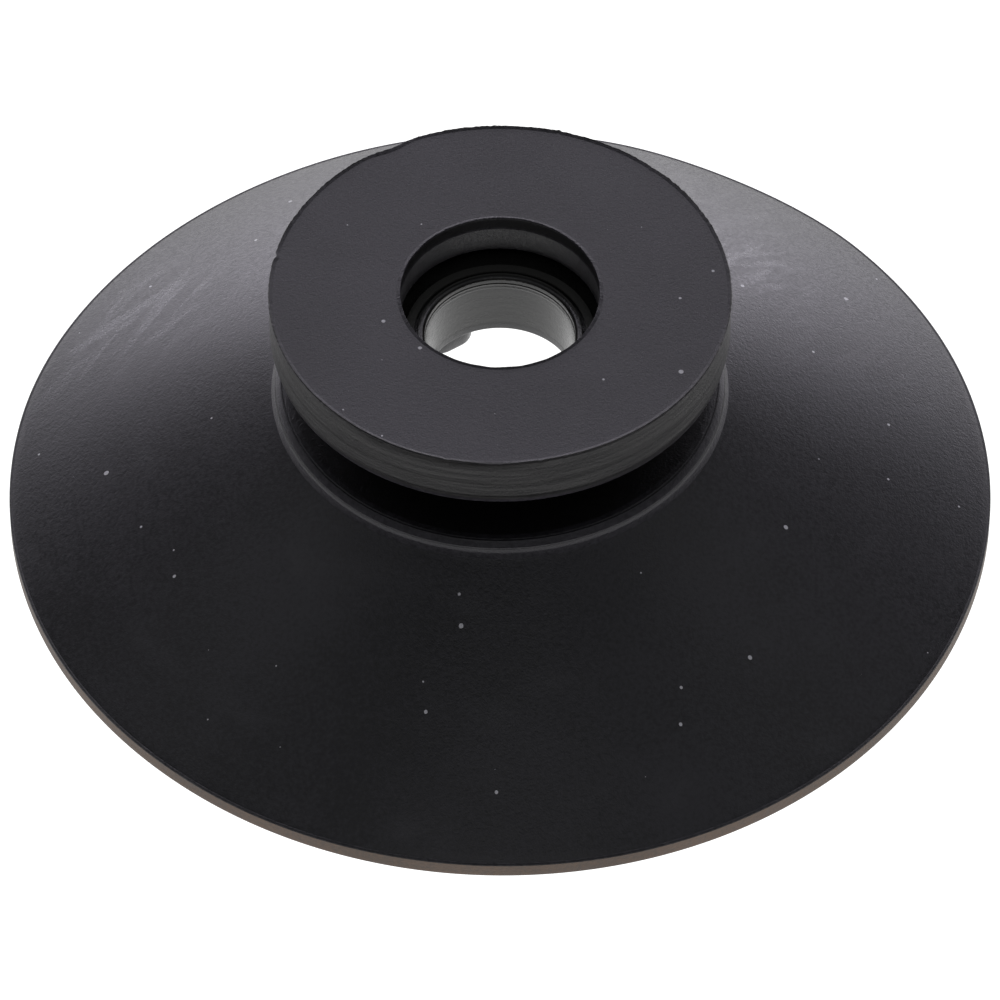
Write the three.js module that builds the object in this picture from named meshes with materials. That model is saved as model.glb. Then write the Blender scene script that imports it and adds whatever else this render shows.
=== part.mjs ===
// Flat vacuum suction cup, moulded in one shot from black nitrile rubber.
//
// Millimetres, +Z up. The origin is on the cup's axis in the plane of the sealing edge, so the cup
// stands on z = 0 with its neck upwards. The moulding is divided at its own corners and bending
// zones: the lip stays on the workpiece, the skirt flattens, and the neck bends in two stages.

import * as THREE from "three";

// ---- Driving dimensions ------------------------------------------------------------------------

const LIP_RADIUS = 50; // outer edge of the sealing lip
const CUP_HEIGHT = 30;
const LIP_EDGE_HEIGHT = 1.5; // upright edge of the lip
const LIP_LAND_WIDTH = 1.2; // flat ring that touches the workpiece
const SKIRT_TOP_Z = 15.6; // the conical skirt ends here and the thick shoulder begins
const SKIRT_TOP_RADIUS = 23.6;
const SKIRT_TOP_INNER_RADIUS = 15.4;
const LIP_INNER_RADIUS = 46; // inside of the lip at the height of its upright edge

const SHOULDER_TOP_Z = 17.6; // floor of the outer groove
const SHOULDER_RADIUS = 22.5;
const SHOULDER_EDGE_BEVEL = 0.35;
const SHOULDER_CREASE_Z = 16.15; // the fillet to the skirt bends round this height
const CAVITY_CEILING_Z = 16.5;
const CAVITY_CEILING_RADIUS = 13.4;

const NECK_RADIUS = 16.5; // floor of the outer groove, measured from the axis
const NECK_SPLIT_Z = 20.8; // between the two bending stages
const FLANGE_BOTTOM_Z = 24; // the fitting's ledge inside lies at the same height
const FLANGE_RADIUS = 23;
const FLANGE_EDGE_BEVEL = 0.3;

const THROUGH_BORE_RADIUS = 7.5; // below the ledge
const ENTRY_BORE_RADIUS = 10; // in the flange's top face
const UNDERCUT_RADIUS = 12.6; // room for the fitting's barb
const UNDERCUT_TOP_Z = 25.6;
const BARB_GROOVE_INNER_RADIUS = 9.6; // the ledge ends here and drops into the barb's groove
const BARB_GROOVE_Z = 23.2;

const CLEAT_COUNT = 3;
const CLEAT_WIDTH = 5.6;
const CLEAT_CORNER_RADIUS = 2; // at the inner end
const CLEAT_DEPTH = 2; // below the cavity's ceiling
const CLEAT_INNER_RADIUS = 7.75;
const CLEAT_GAP = 0.5; // to the sloping wall that each cleat runs out into
const FIRST_CLEAT_ANGLE = 124.5; // degrees from +X

const SEGMENTS = 96; // a multiple of 4, so that the cup measures the same along X and Y
const FILLET_STEPS = 4;

// ---- Materials ---------------------------------------------------------------------------------

const RUBBER_COLOUR = 0x2b2a2e;
const WORN_EDGE_COLOUR = 0x4a4038;
const RUBBER_ROUGHNESS = 0.62;

function rubber(colour = RUBBER_COLOUR) {
  return new THREE.MeshStandardMaterial({ color: colour, roughness: RUBBER_ROUGHNESS, metalness: 0 });
}

// ---- Shape helpers -----------------------------------------------------------------------------

const cup = new THREE.Group();

function add(name, geometry, material) {
  const mesh = new THREE.Mesh(geometry, material);
  mesh.name = name;
  cup.add(mesh);
  return mesh;
}

// A ring turned about Z. The outline lists [radius, z] corners counter-clockwise.
function turned(outline) {
  const points = outline.map(([radius, z]) => new THREE.Vector2(radius, z));
  points.push(points[0].clone());
  return new THREE.LatheGeometry(points, SEGMENTS).rotateX(Math.PI / 2);
}

// Points of the concave fillet from the top of the skirt to the shoulder's side.
function shoulderFillet() {
  const start = new THREE.Vector2(SKIRT_TOP_RADIUS, SKIRT_TOP_Z);
  const corner = new THREE.Vector2(SHOULDER_RADIUS, SHOULDER_CREASE_Z);
  const end = new THREE.Vector2(SHOULDER_RADIUS, SHOULDER_TOP_Z - SHOULDER_EDGE_BEVEL);
  const curve = new THREE.QuadraticBezierCurve(start, corner, end);
  return curve.getPoints(FILLET_STEPS).map((point) => [point.x, point.y]);
}

// ---- Lip and skirt: stay on the workpiece ------------------------------------------------------

function sealingLip() {
  const landInnerRadius = LIP_RADIUS - LIP_LAND_WIDTH;
  return turned([
    [landInnerRadius, 0],
    [LIP_RADIUS, 0],
    [LIP_RADIUS, LIP_EDGE_HEIGHT],
    [LIP_INNER_RADIUS, LIP_EDGE_HEIGHT],
  ]);
}

function skirtWall() {
  return turned([
    [LIP_INNER_RADIUS, LIP_EDGE_HEIGHT],
    [LIP_RADIUS, LIP_EDGE_HEIGHT],
    [SKIRT_TOP_RADIUS, SKIRT_TOP_Z],
    [SKIRT_TOP_INNER_RADIUS, SKIRT_TOP_Z],
  ]);
}

// ---- Shoulder: the stiff plate above the cavity, with its support cleats -------------------------

function shoulderRing() {
  return turned([
    [SKIRT_TOP_INNER_RADIUS, SKIRT_TOP_Z],
    ...shoulderFillet(),
    [SHOULDER_RADIUS - SHOULDER_EDGE_BEVEL, SHOULDER_TOP_Z],
    [THROUGH_BORE_RADIUS, SHOULDER_TOP_Z],
    [THROUGH_BORE_RADIUS, CAVITY_CEILING_Z],
    [CAVITY_CEILING_RADIUS, CAVITY_CEILING_Z],
  ]);
}

// A bar under the ceiling, with rounded inner corners, that stops short of the sloping wall.
function supportCleat() {
  const halfWidth = CLEAT_WIDTH / 2;
  const outerEnd = CAVITY_CEILING_RADIUS - CLEAT_GAP;
  const cornerX = CLEAT_INNER_RADIUS + CLEAT_CORNER_RADIUS;
  const cornerY = halfWidth - CLEAT_CORNER_RADIUS;
  const plan = new THREE.Shape();
  plan.moveTo(outerEnd, -halfWidth);
  plan.lineTo(outerEnd, halfWidth);
  plan.lineTo(cornerX, halfWidth);
  plan.absarc(cornerX, cornerY, CLEAT_CORNER_RADIUS, Math.PI / 2, Math.PI, false);
  plan.absarc(cornerX, -cornerY, CLEAT_CORNER_RADIUS, Math.PI, (3 * Math.PI) / 2, false);
  plan.closePath();
  const bar = new THREE.ExtrudeGeometry(plan, { depth: CLEAT_DEPTH, bevelEnabled: false, curveSegments: 6 });
  return bar.translate(0, 0, CAVITY_CEILING_Z - CLEAT_DEPTH);
}

// ---- Neck: two bending stages and the flange ---------------------------------------------------

function neckLower() {
  return turned([
    [THROUGH_BORE_RADIUS, SHOULDER_TOP_Z],
    [NECK_RADIUS, SHOULDER_TOP_Z],
    [NECK_RADIUS, NECK_SPLIT_Z],
    [THROUGH_BORE_RADIUS, NECK_SPLIT_Z],
  ]);
}

// Its top is the fitting's ledge, with the lower half of the barb's groove round it.
function neckUpper() {
  return turned([
    [THROUGH_BORE_RADIUS, NECK_SPLIT_Z],
    [NECK_RADIUS, NECK_SPLIT_Z],
    [NECK_RADIUS, FLANGE_BOTTOM_Z],
    [UNDERCUT_RADIUS, FLANGE_BOTTOM_Z],
    [UNDERCUT_RADIUS, BARB_GROOVE_Z],
    [BARB_GROOVE_INNER_RADIUS, BARB_GROOVE_Z],
    [BARB_GROOVE_INNER_RADIUS, FLANGE_BOTTOM_Z],
    [THROUGH_BORE_RADIUS, FLANGE_BOTTOM_Z],
  ]);
}

function neckFlange() {
  return turned([
    [UNDERCUT_RADIUS, FLANGE_BOTTOM_Z],
    [FLANGE_RADIUS - FLANGE_EDGE_BEVEL, FLANGE_BOTTOM_Z],
    [FLANGE_RADIUS, FLANGE_BOTTOM_Z + FLANGE_EDGE_BEVEL],
    [FLANGE_RADIUS, CUP_HEIGHT],
    [ENTRY_BORE_RADIUS, CUP_HEIGHT],
    [ENTRY_BORE_RADIUS, UNDERCUT_TOP_Z],
    [UNDERCUT_RADIUS, UNDERCUT_TOP_Z],
  ]);
}

// ---- Assembly ----------------------------------------------------------------------------------

add("sealing_lip", sealingLip(), rubber(WORN_EDGE_COLOUR));
add("skirt_wall", skirtWall(), rubber());
add("shoulder_ring", shoulderRing(), rubber());
for (let i = 0; i < CLEAT_COUNT; i += 1) {
  const cleat = add(`support_cleat_${i + 1}`, supportCleat(), rubber());
  cleat.rotation.z = THREE.MathUtils.degToRad(FIRST_CLEAT_ANGLE + (360 / CLEAT_COUNT) * i);
}
add("neck_lower", neckLower(), rubber());
add("neck_upper", neckUpper(), rubber());
add("neck_flange", neckFlange(), rubber());

export default cup;
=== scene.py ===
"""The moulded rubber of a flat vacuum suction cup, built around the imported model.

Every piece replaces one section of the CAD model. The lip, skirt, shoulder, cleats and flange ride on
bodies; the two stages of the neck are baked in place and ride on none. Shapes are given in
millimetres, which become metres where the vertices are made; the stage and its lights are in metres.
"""

import math

import bpy
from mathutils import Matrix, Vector, noise


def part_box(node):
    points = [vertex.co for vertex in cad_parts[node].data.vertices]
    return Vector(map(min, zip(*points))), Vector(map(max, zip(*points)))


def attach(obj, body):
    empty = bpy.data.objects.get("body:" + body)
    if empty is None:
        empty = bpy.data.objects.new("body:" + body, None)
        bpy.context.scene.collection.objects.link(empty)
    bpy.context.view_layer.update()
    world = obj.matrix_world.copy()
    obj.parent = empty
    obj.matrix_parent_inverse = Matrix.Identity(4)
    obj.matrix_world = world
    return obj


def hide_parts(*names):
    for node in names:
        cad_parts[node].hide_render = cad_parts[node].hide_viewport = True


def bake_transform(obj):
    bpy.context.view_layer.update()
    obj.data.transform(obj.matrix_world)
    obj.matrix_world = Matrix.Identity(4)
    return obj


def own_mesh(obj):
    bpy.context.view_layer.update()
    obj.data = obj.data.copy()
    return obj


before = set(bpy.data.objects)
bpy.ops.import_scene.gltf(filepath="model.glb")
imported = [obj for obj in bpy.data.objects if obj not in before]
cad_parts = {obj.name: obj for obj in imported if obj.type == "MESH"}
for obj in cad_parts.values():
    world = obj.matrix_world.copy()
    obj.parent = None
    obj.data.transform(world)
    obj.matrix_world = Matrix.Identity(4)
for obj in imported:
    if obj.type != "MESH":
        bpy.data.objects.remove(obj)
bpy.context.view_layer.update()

MM = 0.001


def box_mm(node):
    """The lowest and highest corner of a CAD node, in millimetres."""
    low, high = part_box(node)
    return low / MM, high / MM


# ---- Sizes that come from the frame --------------------------------------------------------------

_, lip_high = box_mm("sealing_lip")
shoulder_low, shoulder_high = box_mm("shoulder_ring")
_, stage_high = box_mm("neck_lower")
_, ledge_high = box_mm("neck_upper")
_, flange_high = box_mm("neck_flange")

LIP_RADIUS = lip_high.x
LIP_EDGE_Z = lip_high.z
SKIRT_TOP_Z = shoulder_low.z
SHOULDER_TOP_Z = shoulder_high.z
NECK_RADIUS = stage_high.x
NECK_SPLIT_Z = stage_high.z
LEDGE_Z = ledge_high.z
FLANGE_RADIUS = flange_high.x
CUP_TOP_Z = flange_high.z

# ---- Sizes of hidden or inner shapes, as in the CAD model ----------------------------------------

LIP_LAND_WIDTH = 1.2
LIP_INNER_RADIUS = 46.0
SKIRT_TOP_RADIUS = 23.6
SKIRT_TOP_INNER_RADIUS = 15.4
SHOULDER_RADIUS = 22.5
CAVITY_CEILING_Z = 16.5
CAVITY_CEILING_RADIUS = 13.4
THROUGH_BORE_RADIUS = 7.5
ENTRY_BORE_RADIUS = 10.0
UNDERCUT_RADIUS = 12.6
UNDERCUT_TOP_Z = 25.6
BARB_GROOVE_INNER_RADIUS = 9.6
BARB_GROOVE_Z = 23.2
CLEAT_ANGLES = [124.5 + 120.0 * i for i in range(3)]
CLEAT_HALF_WIDTH = 2.8
CLEAT_CORNER_RADIUS = 2.0
CLEAT_INNER_RADIUS = 7.75

# ---- Shape detail that only the visual model has --------------------------------------------------

SKIRT_BULGE = 0.28  # the skirt's outer face is slightly crowned
SHOULDER_CREASE_WIDTH = 0.5  # the skirt's slope runs on to this far outside the shoulder
SHOULDER_BEAD_DROP = 0.74  # from the shoulder's top to the fine bead round its side
COLLAR_RADIUS = 8.22  # of the raised collar round the through bore
LEDGE_GROOVE_WIDTH = 0.44  # of the narrow groove round the collar
LEDGE_GROOVE_DEPTH = 0.6

BURR_HEIGHT = 0.145  # flash left standing on the trimmed edges
BURR_WIDTH = 0.35
BORE_OVAL = 0.14  # the mouth of the soft entry bore is wider along Y than along X,
BORE_SLACK = 0.04  # a little wider all round,
BORE_SHIFT = 0.155  # and off the axis towards -Y
MOUTH_WIDTH = 2.0  # the top face follows the mouth's shape up to this far from the bore

UNEVEN_SCALE = 0.05  # per millimetre
UNEVEN_HEIGHT = 0.10
COARSE_RAGS, FINE_RAGS = 7, 60  # frequencies of the trimmed edges' raggedness, round the axis
RAG_DEPTH = 0.05
TRIM_DEPTH = 0.45  # how far above and below the top face the trimming shows
RIM_WIDTH, MARK_WIDTH, BORE_RIM_WIDTH = 0.3, 0.9, 0.25  # how far it shows across the edges

# A moulding line and a groove lie close above the lip's edge: (share of the skirt's slope, lift).
SKIRT_LINES = [(0.003, 0.05), (0.006, 0.04), (0.011, -0.03), (0.018, 0.0)]

# The upper end of the through bore is ribbed: (depth below the ledge, distance outside the bore).
BORE_RIBS = [(0.72, 0.03), (0.86, -0.03), (1.06, 0.02), (1.3, -0.02), (1.5, 0.01), (1.75, 0.0)]

# The flange's trimmed side is faintly ribbed: (depth below the top, distance inside the full radius).
FLANGE_RIBS = [(3.1, 0.05), (2.85, 0.02), (2.5, 0.06), (2.0, 0.02), (1.6, 0.05), (1.1, 0.02)]

# A cleat's levels, from inside the ceiling down to its rounded bottom: (height above it, side inset).
CLEAT_LEVELS = [(0.1, 0.0), (-0.6, 0.0), (-1.45, 0.03), (-1.75, 0.15), (-1.93, 0.4), (-2.0, 0.8)]

# The soft lip is not quite round. Each mark is (angle, half its width, outward shift), in degrees and
# millimetres. The flange's list holds cuts and knots that trimming left on its edge.
LIP_MARKS = [(285, 65, 0.36), (128, 42, -0.6), (60, 18, -0.35)]
FLANGE_MARKS = [
    (119, 7.5, -0.5),
    (168, 1.6, -0.25),
    (75, 0.9, 0.16),
    (152, 1.2, -0.08),
    (48, 1.0, -0.12),
    (255, 32, 0.24),
    (257, 1.3, 0.12),
    (280, 1.1, 0.1),
]
WORN_ANGLE, WORN_WIDTH, WORN_SHARE = 270, 6, 0.8  # where the flange's burr is mostly worn off

RING_STEPS = 256  # round the axis, on the ring seen least
SMOOTH_RING_STEPS = 512
FLANGE_RING_STEPS = 960  # enough for the ragged trimmed edge
FILLET_STEP = math.radians(18)
SHARP_ANGLE = math.radians(22)


# ---- Mesh helpers --------------------------------------------------------------------------------


def rounded(corners, longest):
    """A closed outline from (radius, z, fillet) corners, with fillets as arcs and no long steps."""
    points = []
    for i, (x, z, fillet) in enumerate(corners):
        corner = Vector((x, z))
        if fillet <= 0:
            points.append(corner)
            continue
        u = (Vector(corners[i - 1][:2]) - corner).normalized()
        v = (Vector(corners[(i + 1) % len(corners)][:2]) - corner).normalized()
        half = math.acos(max(-1.0, min(1.0, u.dot(v)))) / 2
        reach = fillet / math.tan(half)
        centre = corner + (u + v).normalized() * (fillet / math.sin(half))
        first, last = corner + u * reach - centre, corner + v * reach - centre
        sweep = math.pi - 2 * half
        steps = max(3, math.ceil(sweep / FILLET_STEP))
        sign = 1 if first.x * last.y - first.y * last.x > 0 else -1
        for k in range(steps + 1):
            turn = sign * sweep * k / steps
            c, s = math.cos(turn), math.sin(turn)
            points.append(centre + Vector((first.x * c - first.y * s, first.x * s + first.y * c)))
    split = []
    for i, point in enumerate(points):
        step = points[(i + 1) % len(points)] - point
        pieces = max(1, math.ceil(step.length / longest))
        split += [point + step * (k / pieces) for k in range(pieces)]
    return split


def mesh_object(name, vertices, faces):
    mesh = bpy.data.meshes.new(name)
    mesh.from_pydata(vertices, [], faces)
    mesh.validate()
    mesh.polygons.foreach_set("use_smooth", [True] * len(mesh.polygons))
    mesh.set_sharp_from_angle(angle=SHARP_ANGLE)
    piece = bpy.data.objects.new(name, mesh)
    bpy.context.scene.collection.objects.link(piece)
    return piece


def settled(point):
    """Where a point of the cup lies once the rubber's slight unevenness is added."""
    spread = min(1.0, math.hypot(point.x, point.y) / LIP_RADIUS)
    lift = noise.noise(point * UNEVEN_SCALE) * UNEVEN_HEIGHT * spread
    return point + Vector((0, 0, lift * min(1.0, point.z / LIP_EDGE_Z)))


def bell(value, middle, width):
    """1 at the middle, and less and less on both sides of it."""
    return math.exp(-(((value - middle) / width) ** 2))


def marked(angle, marks):
    """The outward shift, in millimetres, that a list of edge marks gives at an angle."""
    shift = 0.0
    for middle, half_width, depth in marks:
        off = ((math.degrees(angle) - middle + 180) % 360 - 180) / half_width
        if abs(off) < 1:
            shift += depth * (1 - off * off) ** 2
    return shift


def turned(name, outline, steps, uneven=None):
    """A ring turned about Z from a closed outline. uneven(angle, radius, z) gives the radius and z."""
    vertices, faces = [], []
    count = len(outline)
    for i in range(steps):
        angle = 2 * math.pi * i / steps
        for radius, z in outline:
            if uneven:
                radius, z = uneven(angle, radius, z)
            point = settled(Vector((radius * math.cos(angle), radius * math.sin(angle), z)))
            vertices.append(point * MM)
    for i in range(steps):
        j = (i + 1) % steps
        for k in range(count):
            m = (k + 1) % count
            faces.append((i * count + k, j * count + k, j * count + m, i * count + m))
    return mesh_object(name, vertices, faces)


# ---- Lip and skirt -------------------------------------------------------------------------------


def out_of_round(angle, radius, z):
    """Shifts the lip's edge, and less and less of the skirt above it."""
    share = max(0.0, (radius - SKIRT_TOP_RADIUS) / (LIP_RADIUS - SKIRT_TOP_RADIUS))
    return radius + marked(angle, LIP_MARKS) * share, z


def make_lip():
    outline = rounded(
        [
            (LIP_RADIUS - LIP_LAND_WIDTH, 0, 0.1),
            (LIP_RADIUS, 0, 0.12),
            (LIP_RADIUS, LIP_EDGE_Z, 0),
            (LIP_INNER_RADIUS, LIP_EDGE_Z, 0),
        ],
        longest=0.6,
    )
    return turned("lip", outline, SMOOTH_RING_STEPS, out_of_round)


skirt_run = Vector((SKIRT_TOP_RADIUS - LIP_RADIUS, SKIRT_TOP_Z - LIP_EDGE_Z))
skirt_end_slope = math.atan2(skirt_run.y, -skirt_run.x) - 4 * SKIRT_BULGE / skirt_run.length


def make_skirt():
    across = Vector((skirt_run.y, -skirt_run.x)).normalized()
    crown_steps = 24
    crown = []
    for share, lift in SKIRT_LINES + [(k / crown_steps, 0.0) for k in range(1, crown_steps)]:
        bulge = across * (4 * SKIRT_BULGE * share * (1 - share) + lift)
        point = Vector((LIP_RADIUS, LIP_EDGE_Z)) + skirt_run * share + bulge
        crown.append((point.x, point.y, 0))
    outline = rounded(
        [
            (LIP_INNER_RADIUS, LIP_EDGE_Z, 0),
            (LIP_RADIUS, LIP_EDGE_Z, 0),
            *crown,
            (SKIRT_TOP_RADIUS, SKIRT_TOP_Z, 0),
            (SKIRT_TOP_INNER_RADIUS, SKIRT_TOP_Z, 0),
        ],
        longest=1.4,
    )
    return turned("skirt", outline, SMOOTH_RING_STEPS, out_of_round)


# ---- Shoulder ------------------------------------------------------------------------------------


def make_shoulder():
    """The thick ring above the skirt: a crease, a fine bead, a bevel, and a groove inside the bevel."""
    top, side = SHOULDER_TOP_Z, SHOULDER_RADIUS
    crease_radius = side + SHOULDER_CREASE_WIDTH
    crease_z = SKIRT_TOP_Z + (SKIRT_TOP_RADIUS - crease_radius) * math.tan(skirt_end_slope)
    bead_z = top - SHOULDER_BEAD_DROP
    outline = rounded(
        [
            (SKIRT_TOP_INNER_RADIUS, SKIRT_TOP_Z, 0),
            (SKIRT_TOP_RADIUS, SKIRT_TOP_Z, 0),
            (crease_radius, crease_z, 0.12),
            (side + 0.14, bead_z - 0.46, 0.4),
            (side + 0.01, bead_z - 0.08, 0.04),
            (side + 0.1, bead_z, 0.05),
            (side + 0.07, bead_z + 0.18, 0.1),
            (side - 0.44, top, 0.14),
            (side - 0.6, top - 0.06, 0.03),
            (side - 0.72, top, 0.04),
            (side - 1.3, top, 0),
            (NECK_RADIUS, top, 0),
            (THROUGH_BORE_RADIUS, top, 0),
            (THROUGH_BORE_RADIUS, CAVITY_CEILING_Z, 0.25),
            (CAVITY_CEILING_RADIUS, CAVITY_CEILING_Z, 0),
        ],
        longest=1.0,
    )
    return turned("shoulder", outline, SMOOTH_RING_STEPS)


def make_cleat(index, angle):
    """A bar with round inner corners under the cavity's ceiling, running out into the sloping wall."""
    wall_slope = (SKIRT_TOP_INNER_RADIUS - CAVITY_CEILING_RADIUS) / (CAVITY_CEILING_Z - SKIRT_TOP_Z)
    wall_gap = 0.02
    corner_steps = 8
    corner_x = CLEAT_INNER_RADIUS + CLEAT_CORNER_RADIUS
    vertices, faces = [], []
    for height, inset in CLEAT_LEVELS:
        z = CAVITY_CEILING_Z + height
        half = CLEAT_HALF_WIDTH - inset
        outer = CAVITY_CEILING_RADIUS + max(0.0, -height) * wall_slope - wall_gap
        corner = CLEAT_CORNER_RADIUS - inset
        corner_y = half - corner
        loop = [(outer, -half), (outer, half)]
        for side, start in ((1, math.pi / 2), (-1, math.pi)):
            for k in range(corner_steps + 1):
                turn = start + math.pi / 2 * k / corner_steps
                loop.append((corner_x + corner * math.cos(turn), side * corner_y + corner * math.sin(turn)))
        vertices += [Vector((x, y, z)) for x, y in loop]
    size = len(vertices) // len(CLEAT_LEVELS)
    for level in range(len(CLEAT_LEVELS) - 1):
        a, b = level * size, (level + 1) * size
        for k in range(size):
            m = (k + 1) % size
            faces.append((a + k, b + k, b + m, a + m))
    faces.append(tuple(range(size)))
    faces.append(tuple(reversed(range((len(CLEAT_LEVELS) - 1) * size, len(CLEAT_LEVELS) * size))))
    c, s = math.cos(math.radians(angle)), math.sin(math.radians(angle))
    placed = [Vector((p.x * c - p.y * s, p.x * s + p.y * c, p.z)) * MM for p in vertices]
    return mesh_object(f"cleat_{index}", placed, faces)


# ---- Neck ----------------------------------------------------------------------------------------


def make_neck_lower():
    outline = rounded(
        [
            (THROUGH_BORE_RADIUS, SHOULDER_TOP_Z, 0),
            (NECK_RADIUS, SHOULDER_TOP_Z, 0),
            (NECK_RADIUS, NECK_SPLIT_Z, 0),
            (THROUGH_BORE_RADIUS, NECK_SPLIT_Z, 0),
        ],
        longest=0.4,
    )
    return turned("neck_stage_lower", outline, RING_STEPS)


def make_neck_upper():
    """The stage with the fitting's ledge: a barb groove, a raised collar and a ribbed bore below it."""
    bore = THROUGH_BORE_RADIUS
    groove_radius = COLLAR_RADIUS + LEDGE_GROOVE_WIDTH
    edge_z = LEDGE_Z - 0.12
    groove_z = LEDGE_Z - LEDGE_GROOVE_DEPTH
    outline = rounded(
        [
            (bore, NECK_SPLIT_Z, 0),
            (NECK_RADIUS, NECK_SPLIT_Z, 0),
            (NECK_RADIUS, LEDGE_Z, 0),
            (UNDERCUT_RADIUS, LEDGE_Z, 0),
            (UNDERCUT_RADIUS, BARB_GROOVE_Z, 0.3),
            (BARB_GROOVE_INNER_RADIUS, BARB_GROOVE_Z, 0.3),
            (BARB_GROOVE_INNER_RADIUS, edge_z, 0.15),
            (groove_radius, edge_z, 0),
            (groove_radius - 0.1, groove_z, 0),
            (COLLAR_RADIUS + 0.08, groove_z, 0),
            (COLLAR_RADIUS, LEDGE_Z, 0.05),
            (bore + 0.02, LEDGE_Z - 0.02, 0.36),
            *[(bore + out, LEDGE_Z - depth, 0.06) for depth, out in BORE_RIBS],
        ],
        longest=0.4,
    )
    return turned("neck_stage_upper", outline, SMOOTH_RING_STEPS)


def trimmed(angle, radius, z):
    """Ragged burrs and marks on the flange's trimmed edge, and the uneven mouth of its bore."""
    top, rim, bore = CUP_TOP_Z, FLANGE_RADIUS, ENTRY_BORE_RADIUS
    near_top = max(0.0, 1 - abs(z - top) / TRIM_DEPTH)
    round_point = Vector((math.cos(angle), math.sin(angle), 0))
    coarse = noise.noise(round_point * COARSE_RAGS + Vector((3, 0, 0)))
    fine = noise.noise(round_point * FINE_RAGS + Vector((0, 0, 5)))
    if z > top + 0.02:
        on_rim = radius > (rim + bore) / 2
        worn = WORN_SHARE * bell(math.degrees(angle), WORN_ANGLE, WORN_WIDTH) if on_rim else 0.0
        z = top + (z - top) * max(0.15, 1 + 0.6 * coarse + 0.4 * fine - worn)
    height_share = min(1.0, max(0.0, (z - UNDERCUT_TOP_Z) / (top - UNDERCUT_TOP_Z)))
    mouth = height_share * max(0.0, 1 - max(0.0, radius - bore) / MOUTH_WIDTH) ** 2
    marks = marked(angle, FLANGE_MARKS) * bell(radius, rim, MARK_WIDTH) * near_top
    outer, inner = bell(radius, rim, RIM_WIDTH), bell(radius, bore, BORE_RIM_WIDTH)
    radius += RAG_DEPTH * near_top * (coarse * outer + fine * (outer + 0.9 * inner))
    radius += (BORE_SLACK - BORE_OVAL * math.cos(2 * angle) - BORE_SHIFT * math.sin(angle)) * mouth
    return radius + marks, z


def make_flange():
    """The top flange, with burrs on both trimmed edges and the barb's undercut inside."""
    top, rim, bore = CUP_TOP_Z, FLANGE_RADIUS, ENTRY_BORE_RADIUS
    outline = rounded(
        [
            (UNDERCUT_RADIUS, LEDGE_Z, 0),
            (NECK_RADIUS, LEDGE_Z, 0),
            (rim - 0.25, LEDGE_Z, 0.3),
            (rim - 0.02, LEDGE_Z + 1.2, 0.4),
            *[(rim - inside, top - depth, 0) for depth, inside in FLANGE_RIBS],
            (rim - 0.03, top - 0.2, 0.05),
            (rim + 0.05, top + 0.3 * BURR_HEIGHT, 0.03),
            (rim - 0.03, top + BURR_HEIGHT, 0.03),
            (rim - 0.03 - BURR_WIDTH, top, 0.1),
            (rim - 1.0, top, 0.2),
            (bore + 1.0, top, 0.2),
            (bore + BURR_WIDTH, top, 0.08),
            (bore + 0.03, top + BURR_HEIGHT, 0.03),
            (bore - 0.04, top - 0.03, 0.03),
            (bore + 0.4, top - 0.34, 0.05),
            (bore + 0.36, top - 0.55, 0.05),
            (bore + 0.02, top - 1.5, 0.25),
            (bore, UNDERCUT_TOP_Z, 0.12),
            (UNDERCUT_RADIUS, UNDERCUT_TOP_Z, 0.3),
        ],
        longest=0.7,
    )
    return turned("flange", outline, FLANGE_RING_STEPS, trimmed)


# ---- Material helpers ----------------------------------------------------------------------------

# Places of the colour sockets on a Mix node, whose sockets share their names.
MIX_FIRST, MIX_SECOND, MIX_RESULT = 6, 7, 2


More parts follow.
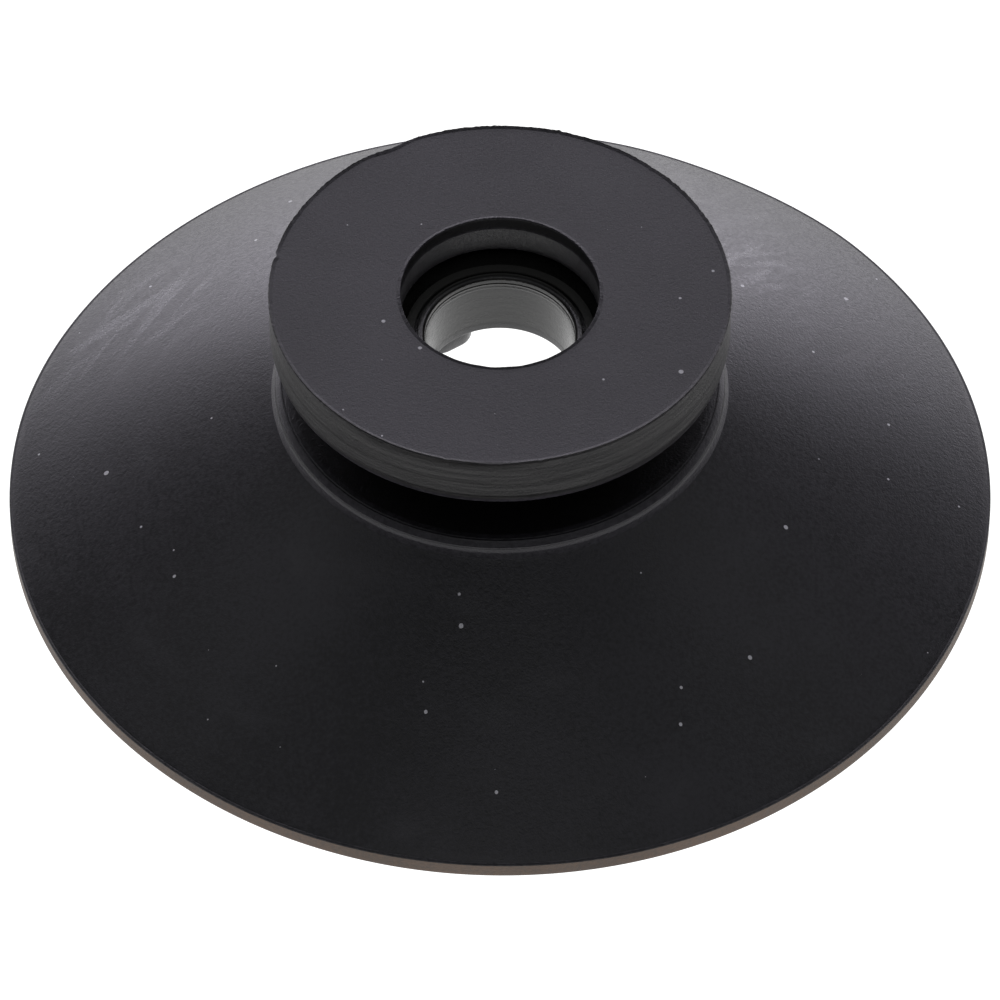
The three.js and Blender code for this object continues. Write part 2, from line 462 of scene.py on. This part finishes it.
class Graph:
    """The node tree of one new material, with a short call for each kind of node."""

    def __init__(self, name):
        self.material = bpy.data.materials.new(name)
        self.material.use_nodes = True
        self.nodes = self.material.node_tree.nodes
        self.links = self.material.node_tree.links
        self.coordinates = self.nodes.new("ShaderNodeTexCoord").outputs
        self.place = self.coordinates["Object"]

    def put(self, value, socket):
        if isinstance(value, bpy.types.NodeSocket):
            self.links.new(value, socket)
        else:
            socket.default_value = value

    def math(self, operation, first, second=0.0):
        node = self.nodes.new("ShaderNodeMath")
        node.operation = operation
        self.put(first, node.inputs[0])
        self.put(second, node.inputs[1])
        return node.outputs[0]

    def stretched(self, scale, turn=0.0):
        """The object's coordinates, turned about Z and then multiplied along each axis."""
        node = self.nodes.new("ShaderNodeMapping")
        node.vector_type = "TEXTURE"
        node.inputs["Scale"].default_value = [1 / part for part in scale]
        node.inputs["Rotation"].default_value = (0, 0, turn)
        self.links.new(self.place, node.inputs["Vector"])
        return node.outputs["Vector"]

    def noise(self, scale, detail, place=None):
        node = self.nodes.new("ShaderNodeTexNoise")
        node.inputs["Scale"].default_value = scale
        node.inputs["Detail"].default_value = detail
        self.links.new(place or self.place, node.inputs["Vector"])
        return node.outputs["Fac"]

    def between(self, source, low, high, to_low=0.0, to_high=1.0):
        """A smooth change from to_low, where the source is below low, to to_high above high."""
        node = self.nodes.new("ShaderNodeMapRange")
        node.interpolation_type = "SMOOTHSTEP"
        self.links.new(source, node.inputs["Value"])
        for key, value in (("From Min", low), ("From Max", high), ("To Min", to_low), ("To Max", to_high)):
            self.put(value, node.inputs[key])
        return node.outputs["Result"]

    def beyond(self, source, low, high):
        """0 where a length is below low and 1 where it is above high, both in millimetres."""
        return self.between(source, low * MM, high * MM)

    def within(self, source, low, high):
        """1 where a length is below low and 0 where it is above high, both in millimetres."""
        return self.between(source, low * MM, high * MM, 1.0, 0.0)

    def mix(self, factor, first, second):
        node = self.nodes.new("ShaderNodeMix")
        node.data_type = "RGBA"
        self.put(factor, node.inputs["Factor"])
        self.put(first, node.inputs[MIX_FIRST])
        self.put(second, node.inputs[MIX_SECOND])
        return node.outputs[MIX_RESULT]

    def axes(self):
        """X, Y and Z as sockets, in metres."""
        split = self.nodes.new("ShaderNodeSeparateXYZ")
        self.links.new(self.place, split.inputs["Vector"])
        return split.outputs

    def radius(self):
        """The distance from the axis, in metres."""
        x, y, _ = self.axes()
        return self.math("SQRT", self.math("ADD", self.math("MULTIPLY", x, x), self.math("MULTIPLY", y, y)))

    def facing_up(self):
        """1 on the faces that look upwards, 0 underneath."""
        split = self.nodes.new("ShaderNodeSeparateXYZ")
        self.links.new(self.coordinates["Normal"], split.inputs["Vector"])
        return self.between(split.outputs["Z"], 0.0, 0.2)

    def specks(self, spacing, share, size):
        """1 in small round specks, one in each chosen cell of a grid seen from above."""
        cells = self.nodes.new("ShaderNodeTexVoronoi")
        cells.voronoi_dimensions = "2D"
        cells.inputs["Scale"].default_value = 1 / spacing
        self.links.new(self.place, cells.inputs["Vector"])
        channels = self.nodes.new("ShaderNodeSeparateColor")
        self.links.new(cells.outputs["Color"], channels.inputs["Color"])
        chosen = self.math("GREATER_THAN", channels.outputs["Red"], 1 - share)
        smallness = self.math("POWER", channels.outputs["Green"], 2.0)
        reach = self.math("MULTIPLY", smallness, size / spacing)
        near = self.math("LESS_THAN", cells.outputs["Distance"], reach)
        return self.math("MULTIPLY", chosen, near)


# ---- Rubber --------------------------------------------------------------------------------------

RUBBER_IOR = 1.52
GRAIN_SCALE, FINE_GRAIN_SCALE = 2400, 5200  # per metre, like every scale of a noise
GRAIN_BUMP, GRAIN_HEIGHT = 0.7, 0.00004
MOTTLE_SCALE = 60
SCUFF_STRETCH = (90, 90, 260)
SCUFF_STRENGTH = 0.35
# Chalk streaks that also carry painted sheen: lighter and smoother, and only behind the axis, where the cup
# faces the back light.
CHALK_AND_SHEEN_PATCH_SCALE = 40
CHALK_AND_SHEEN_LINES = [(420, 0.55, 0.5), (700, 1.0, 0.52), (2400, 0.8, 0.62)]  # (scale across, turn, noise level)
CHALK_SHEEN = 0.1  # how much smoother the chalk and painted-sheen streaks are
DUST_SPACING = 0.0036
DUST_SIZE = 0.00026
SIDE_STRETCH = (90, 90, 3200)
SMEAR_STRETCH = (100, 100, 1500)

# Each pair is the darker and the lighter colour of a mottled rubber.
CUP_COLOURS = (0.009, 0.0088, 0.01, 1), (0.025, 0.0245, 0.028, 1)
FLANGE_COLOURS = (0.009, 0.0082, 0.0115, 1), (0.04, 0.037, 0.045, 1)
FLANGE_SIDE_COLOURS = (0.005, 0.0048, 0.0045, 1), (0.034, 0.0335, 0.031, 1)
NECK_COLOURS = (0.012, 0.012, 0.0115, 1), (0.022, 0.022, 0.021, 1)
EDGE_COLOURS = (0.06, 0.038, 0.024, 1), (0.118, 0.076, 0.05, 1)

SCUFF_COLOUR = (0.05, 0.05, 0.054, 1)
# Lighter colour of the chalk streaks, which is partly painted sheen.
CHALK_AND_SHEEN_COLOUR = (0.06, 0.06, 0.065, 1)
DUST_COLOUR = (0.6, 0.6, 0.62, 1)
# Near-black painted shade for the outer groove, the neck's undercut and the band under the bore's edge.
PAINTED_SHADE_COLOUR = (0.004, 0.004, 0.004, 1)
# Lighter colour, painted light, for the ledge round the through bore.
LEDGE_PAINTED_LIGHT_COLOUR = (0.075, 0.075, 0.07, 1)
SMEAR_COLOUR = (0.035, 0.035, 0.033, 1)


def chalk_and_sheen_streaks(graph, strength):
    """Soft crossing streaks in patches, on the upward faces behind the axis: chalk, and painted sheen where
    the cup faces the back light.
    """
    patches = graph.between(graph.noise(CHALK_AND_SHEEN_PATCH_SCALE, 3), 0.4, 0.6, 0.0, strength)
    # The painted sheen: only on faces turned up and behind the axis.
    behind = graph.math("MULTIPLY", graph.facing_up(), graph.beyond(graph.axes()[1], 0, 20))
    chalk_and_sheen = 0.0
    for across, turn, level in CHALK_AND_SHEEN_LINES:
        lines = graph.noise(1.0, 3, graph.stretched((55, across, 200), turn))
        lines = graph.math("MULTIPLY", graph.between(lines, level, level + 0.16), patches)
        chalk_and_sheen = graph.math("MAXIMUM", graph.math("MULTIPLY", lines, behind), chalk_and_sheen)
    return chalk_and_sheen


def rubber(name, colours, roughness, dust_share=0.0, chalk_and_sheen_strength=0.0, detail=None):
    """Moulded rubber: mottled and scuffed, with a fine grain. detail(graph, colour) adds more."""
    graph = Graph(name)
    shader = graph.nodes["Principled BSDF"]
    shader.inputs["IOR"].default_value = RUBBER_IOR
    grain = graph.noise(GRAIN_SCALE, 4)
    mottle = graph.math("ADD", graph.noise(MOTTLE_SCALE, 4), graph.math("MULTIPLY", grain, 1.2))
    colour = graph.mix(graph.between(mottle, 0.75, 1.45), *colours)
    scuffs = graph.noise(1.0, 6, graph.stretched(SCUFF_STRETCH))
    colour = graph.mix(graph.between(scuffs, 0.52, 0.78, 0.0, SCUFF_STRENGTH), colour, SCUFF_COLOUR)
    worn = graph.between(grain, 0.35, 0.65, roughness - 0.04, roughness + 0.05)
    if chalk_and_sheen_strength:
        # Chalk streaks with painted sheen, on the back half only.
        chalk_and_sheen = chalk_and_sheen_streaks(graph, chalk_and_sheen_strength)
        colour = graph.mix(chalk_and_sheen, colour, CHALK_AND_SHEEN_COLOUR)
        worn = graph.math("SUBTRACT", worn, graph.math("MULTIPLY", chalk_and_sheen, CHALK_SHEEN))
    if dust_share:
        specks = graph.specks(DUST_SPACING, dust_share, DUST_SIZE)
        colour = graph.mix(graph.math("MULTIPLY", graph.facing_up(), specks), colour, DUST_COLOUR)
    if detail:
        colour = detail(graph, colour)
    graph.put(colour, shader.inputs["Base Color"])
    graph.put(worn, shader.inputs["Roughness"])

    bump = graph.nodes.new("ShaderNodeBump")
    bump.inputs["Strength"].default_value = GRAIN_BUMP
    bump.inputs["Distance"].default_value = GRAIN_HEIGHT
    graph.put(graph.math("ADD", grain, graph.noise(FINE_GRAIN_SCALE, 2)), bump.inputs["Height"])
    graph.put(bump.outputs["Normal"], shader.inputs["Normal"])
    return graph.material


def shoulder_detail(graph, colour):
    """Painted shadow: near-black colour on the floor of the outer groove, under the flange's overhang."""
    on_top = graph.beyond(graph.axes()[2], SHOULDER_TOP_Z - 0.4, SHOULDER_TOP_Z - 0.2)
    inside = graph.within(graph.radius(), SHOULDER_RADIUS - 1.3, SHOULDER_RADIUS - 1.2)
    return graph.mix(graph.math("MULTIPLY", on_top, inside), colour, PAINTED_SHADE_COLOUR)


def edge_detail(graph, colour):
    """Only the trimmed upright edge has lost its black skin."""
    trimmed_edge = graph.beyond(graph.radius(), LIP_RADIUS - 0.9, LIP_RADIUS - 0.5)
    return graph.mix(trimmed_edge, CUP_COLOURS[1], colour)


def flange_detail(graph, colour):
    """Streaks round the trimmed side, and a band of painted shade just below the bore's edge."""
    radius, height = graph.radius(), graph.axes()[2]
    streaks = graph.between(graph.noise(1.0, 4, graph.stretched(SIDE_STRETCH)), 0.42, 0.66)
    side = graph.beyond(radius, FLANGE_RADIUS - 0.2, FLANGE_RADIUS - 0.08)
    colour = graph.mix(side, colour, graph.mix(streaks, *FLANGE_SIDE_COLOURS))
    inside = graph.within(radius, ENTRY_BORE_RADIUS + 0.9, ENTRY_BORE_RADIUS + 1.4)
    # Painted shade on the bore's wall, from just under the top edge to about 1.3 mm below it.
    painted_shade_band = graph.math("MULTIPLY", inside, graph.beyond(height, CUP_TOP_Z - 1.38, CUP_TOP_Z - 1.28))
    below_top = graph.within(height, CUP_TOP_Z - 0.07, CUP_TOP_Z - 0.04)
    return graph.mix(graph.math("MULTIPLY", painted_shade_band, below_top), colour, PAINTED_SHADE_COLOUR)


def neck_detail(graph, colour):
    """Painted shade in the outer groove and the undercut, painted light on the ledge, and smears round the
    bore.
    """
    radius, height = graph.radius(), graph.axes()[2]
    smears = graph.between(graph.noise(1.0, 4, graph.stretched(SMEAR_STRETCH)), 0.35, 0.7)
    colour = graph.mix(smears, colour, SMEAR_COLOUR)
    # Painted light: the ledge is lighter, standing in for the light that falls on it through the entry bore.
    on_ledge = graph.beyond(height, LEDGE_Z - 0.32, LEDGE_Z - 0.2)
    off_bore = graph.beyond(radius, THROUGH_BORE_RADIUS + 0.4, THROUGH_BORE_RADIUS + 0.6)
    colour = graph.mix(graph.math("MULTIPLY", on_ledge, off_bore), colour, LEDGE_PAINTED_LIGHT_COLOUR)
    # Painted shade: near-black from the undercut's wall outwards, on the outer groove's wall too.
    return graph.mix(graph.beyond(radius, UNDERCUT_RADIUS - 1.1, UNDERCUT_RADIUS - 0.1), colour, PAINTED_SHADE_COLOUR)


cup_rubber = rubber("cup_rubber", CUP_COLOURS, 0.34, dust_share=0.14, chalk_and_sheen_strength=0.8)
shoulder_rubber = rubber("shoulder_rubber", CUP_COLOURS, 0.34, detail=shoulder_detail)
flange_rubber = rubber("flange_rubber", FLANGE_COLOURS, 0.42, dust_share=0.3, detail=flange_detail)
neck_rubber = rubber("neck_rubber", NECK_COLOURS, 0.17, detail=neck_detail)
edge_rubber = rubber("edge_rubber", EDGE_COLOURS, 0.6, detail=edge_detail)


# ---- Pieces --------------------------------------------------------------------------------------


def dress(piece, material, node):
    piece.data.materials.append(material)
    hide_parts(node)
    return piece


lip = dress(make_lip(), edge_rubber, "sealing_lip")
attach(lip, "lip")

skirt = dress(make_skirt(), cup_rubber, "skirt_wall")
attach(skirt, "lip")
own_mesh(skirt)

shoulder = dress(make_shoulder(), shoulder_rubber, "shoulder_ring")
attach(shoulder, "shoulder")
for number, angle in enumerate(CLEAT_ANGLES, start=1):
    cleat = dress(make_cleat(number, angle), cup_rubber, f"support_cleat_{number}")
    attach(cleat, "shoulder")

neck_lower = dress(make_neck_lower(), neck_rubber, "neck_lower")
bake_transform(neck_lower)

neck_upper = dress(make_neck_upper(), neck_rubber, "neck_upper")
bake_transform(neck_upper)

flange = dress(make_flange(), flange_rubber, "neck_flange")
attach(flange, "flange")


# ---- Stage, light and camera ---------------------------------------------------------------------

STAGE_RADIUS = 3.0
BACKDROP_HEIGHT = 1.9
FLOOR_Z = -0.0002
FLOOR_GLOW = 1.3  # beside the cup
BACK_GLOW = 3.7  # of the floor and the backdrop far behind the cup
FRONT_GLOW = 0.5
HIGH_SHARE = 0.2  # how much of the backdrop's glow is left from FADE_HEIGHT upwards
FADE_HEIGHT = 0.9
NEAR_FLOOR, FAR_FLOOR = 0.075, 0.28  # from the first radius to the second, the floor takes the far glow
WHITE_FLOOR, COOL_FLOOR = 0.07, 0.12  # from the first radius to the second, the glow turns cool
COOL_WHITE = (0.93, 0.895, 1.0)

WORLD_COLOUR = (0.9, 0.92, 1, 1)
WORLD_STRENGTH = 0.12

CAMERA_ELEVATION = math.radians(48.2)
CAMERA_DISTANCE = 16  # in radii of the lip, like the height of the point it looks at
TARGET_HEIGHT = -0.0213
SENSOR_WIDTH = 36
FOCAL_LENGTH = 281.7


def glow(name, strength):
    """A light surface that is seen only from the side that faces the cup. strength(graph) is its glow."""
    graph = Graph(name)
    graph.nodes.remove(graph.nodes["Principled BSDF"])
    emission = graph.nodes.new("ShaderNodeEmission")
    cool = graph.between(graph.radius(), WHITE_FLOOR, COOL_FLOOR)
    graph.put(graph.mix(cool, (1, 1, 1, 1), (*COOL_WHITE, 1)), emission.inputs["Color"])
    graph.put(strength(graph), emission.inputs["Strength"])
    clear = graph.nodes.new("ShaderNodeBsdfTransparent")
    side = graph.nodes.new("ShaderNodeNewGeometry")
    mix = graph.nodes.new("ShaderNodeMixShader")
    graph.put(side.outputs["Backfacing"], mix.inputs["Fac"])
    graph.put(emission.outputs["Emission"], mix.inputs[1])
    graph.put(clear.outputs["BSDF"], mix.inputs[2])
    graph.put(mix.outputs["Shader"], graph.nodes["Material Output"].inputs["Surface"])
    return graph.material


def far_glow(graph):
    """The glow far away: brightest straight behind the cup and faint from its sides to its front."""
    facing = graph.math("DIVIDE", graph.axes()[1], graph.radius())
    return graph.between(facing, 0.5, 1.0, FRONT_GLOW, BACK_GLOW)


def floor_strength(graph):
    return graph.between(graph.radius(), NEAR_FLOOR, FAR_FLOOR, FLOOR_GLOW, far_glow(graph))


def backdrop_strength(graph):
    fade = graph.between(graph.axes()[2], 0.0, FADE_HEIGHT, 1.0, HIGH_SHARE)
    return graph.math("MULTIPLY", far_glow(graph), fade)


def make_stage():
    wall_steps = 64
    turns = [2 * math.pi * i / wall_steps for i in range(wall_steps)]
    ring = [(STAGE_RADIUS * math.cos(turn), STAGE_RADIUS * math.sin(turn)) for turn in turns]
    low_ring = [(x, y, FLOOR_Z) for x, y in ring]
    high_ring = [(x, y, BACKDROP_HEIGHT) for x, y in ring]
    floor = mesh_object("floor", low_ring, [tuple(range(wall_steps))])
    floor.data.materials.append(glow("floor_white", floor_strength))
    faces = []
    for i in range(wall_steps):
        j = (i + 1) % wall_steps
        faces.append((i, i + wall_steps, j + wall_steps, j))
    wall = mesh_object("backdrop", low_ring + high_ring, faces)
    wall.data.materials.append(glow("backdrop_white", backdrop_strength))


def area_light(name, place, size, power, colour=(1, 1, 1)):
    """A rectangular light that shines on the origin. Places and sizes are in metres."""
    data = bpy.data.lights.new(name, "AREA")
    data.shape = "RECTANGLE"
    data.size, data.size_y = size
    data.energy = power
    data.color = colour
    light = bpy.data.objects.new(name, data)
    light.location = place
    light.rotation_euler = (-Vector(place)).to_track_quat("-Z", "Y").to_euler()
    bpy.context.scene.collection.objects.link(light)


def make_camera():
    lip_radius = LIP_RADIUS * MM
    target = Vector((0, 0, TARGET_HEIGHT * lip_radius))
    away = Vector((0, -math.cos(CAMERA_ELEVATION), math.sin(CAMERA_ELEVATION)))
    data = bpy.data.cameras.new("camera")
    data.sensor_width = SENSOR_WIDTH
    data.lens = FOCAL_LENGTH
    data.clip_start, data.clip_end = 0.05, 20
    camera = bpy.data.objects.new("camera", data)
    camera.location = target + away * CAMERA_DISTANCE * lip_radius
    camera.rotation_euler = (-away).to_track_quat("-Z", "Y").to_euler()
    bpy.context.scene.collection.objects.link(camera)
    bpy.context.scene.camera = camera


def make_world():
    world = bpy.data.worlds.new("studio")
    world.use_nodes = True
    background = world.node_tree.nodes["Background"]
    background.inputs["Color"].default_value = WORLD_COLOUR
    background.inputs["Strength"].default_value = WORLD_STRENGTH
    bpy.context.scene.world = world
    bpy.context.scene.view_settings.view_transform = "Standard"


make_stage()
make_world()
make_camera()
area_light("back_softbox", (0, 0.9, 0.95), (1.3, 0.6), 3.7, COOL_WHITE)
area_light("top_fill", (0, -0.75, 1.3), (1.2, 0.6), 0.8)
area_light("left_fill", (-1.15, 0.15, 1.6), (1.0, 1.0), 0.8)
area_light("right_fill", (1.15, 0.15, 1.6), (1.0, 1.0), 0.8)
